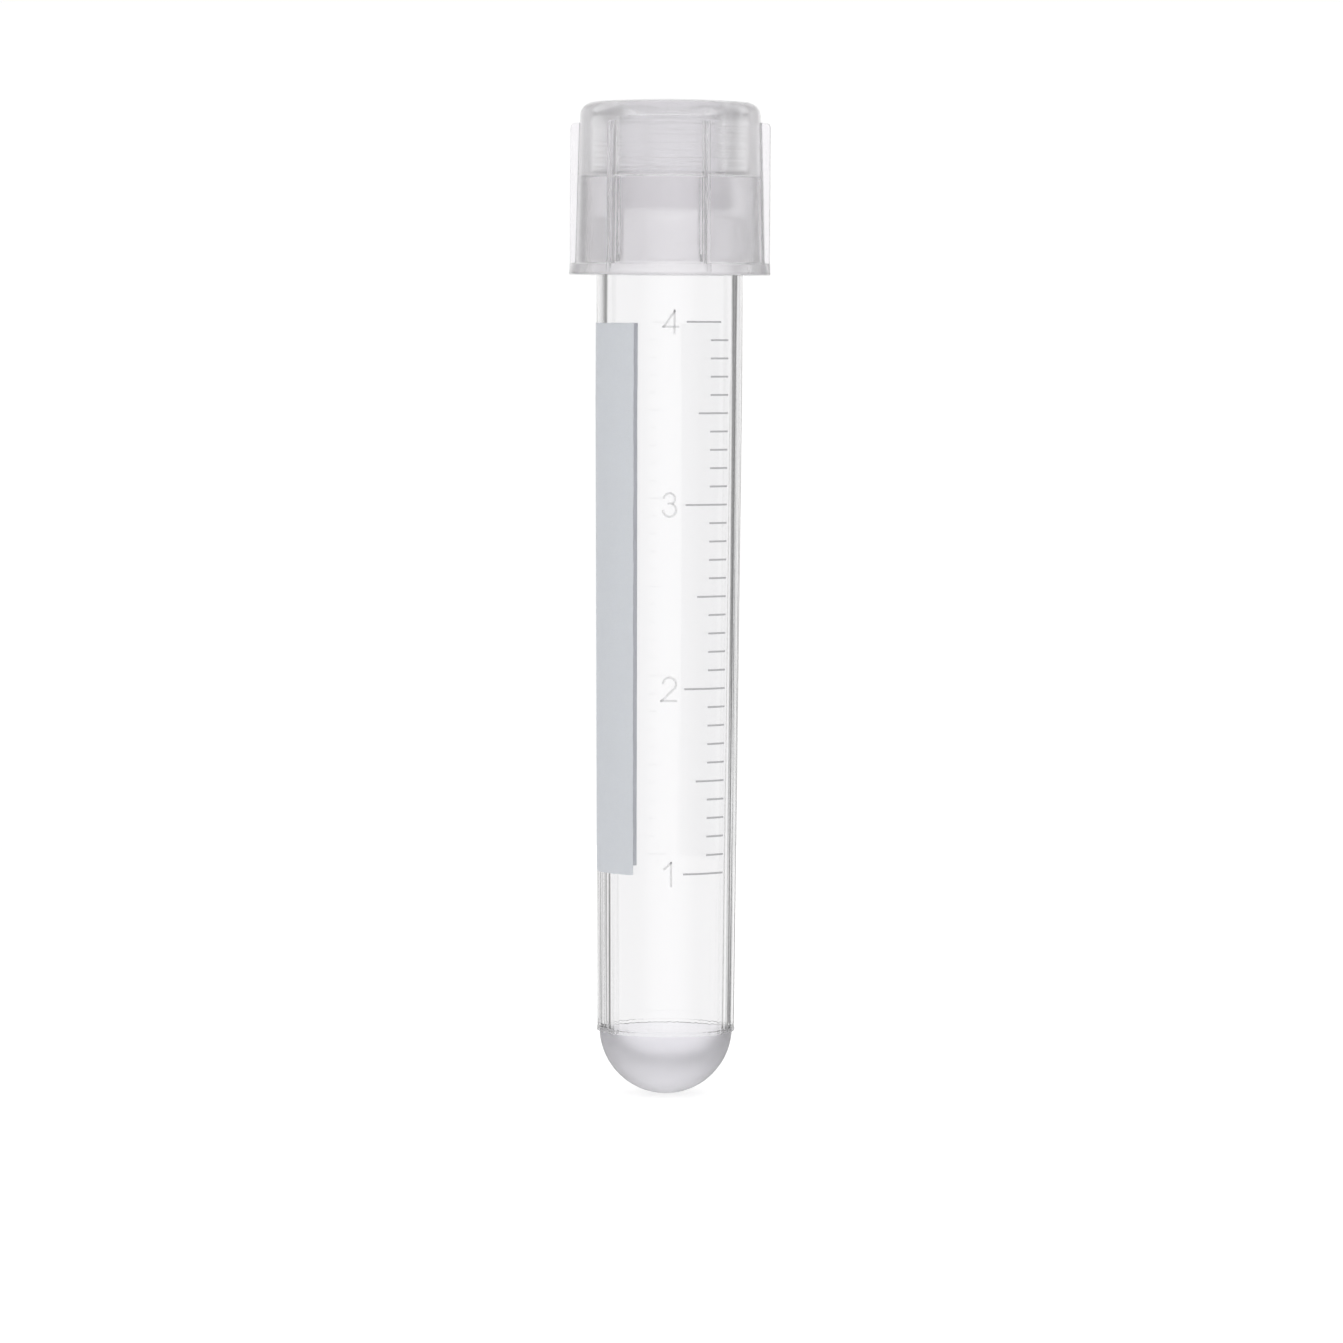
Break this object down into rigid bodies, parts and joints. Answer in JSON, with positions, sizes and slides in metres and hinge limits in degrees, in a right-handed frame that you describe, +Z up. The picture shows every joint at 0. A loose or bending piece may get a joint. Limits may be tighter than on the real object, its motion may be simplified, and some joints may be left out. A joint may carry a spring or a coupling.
{
  "type": "capped test tube",
  "caption": "Clear round-bottomed plastic test tube with a printed volume scale and writing patch, and a translucent finned push cap that slides between a vented and a closed position.",
  "frame": {"origin": "lowest point of the tube's dome, on the tube's axis", "axes": "+Z up the tube's axis towards the cap, -Y is the front, where the numerals are, +X is to the right of the numerals"},
  "size_m": [0.0172, 0.0172, 0.0852],
  "materials": {
    "clear_plastic": "clear, polished wall with a frosted dome",
    "cap_plastic": "translucent natural, satin",
    "white_ink": "matt printed ink that takes a pen",
    "scale_ink": "printed ink",
    "numeral_ink": "printed ink"
  },
  "bodies": {
    "tube": {"tube_body": "clear_plastic", "writing_patch": "white_ink", "major_marks": "scale_ink", "half_marks": "scale_ink", "minor_marks": "scale_ink", "numeral_1": "numeral_ink", "numeral_2": "numeral_ink", "numeral_3": "numeral_ink", "numeral_4": "numeral_ink"},
    "cap": {"snap_cap": "cap_plastic"}
  },
  "joints": [
    {"name": "cap_lift", "type": "slide", "parent": "tube", "child": "cap", "axis": [0, 0, 1], "range_m": [-0.0035, 0.02]}
  ]
}
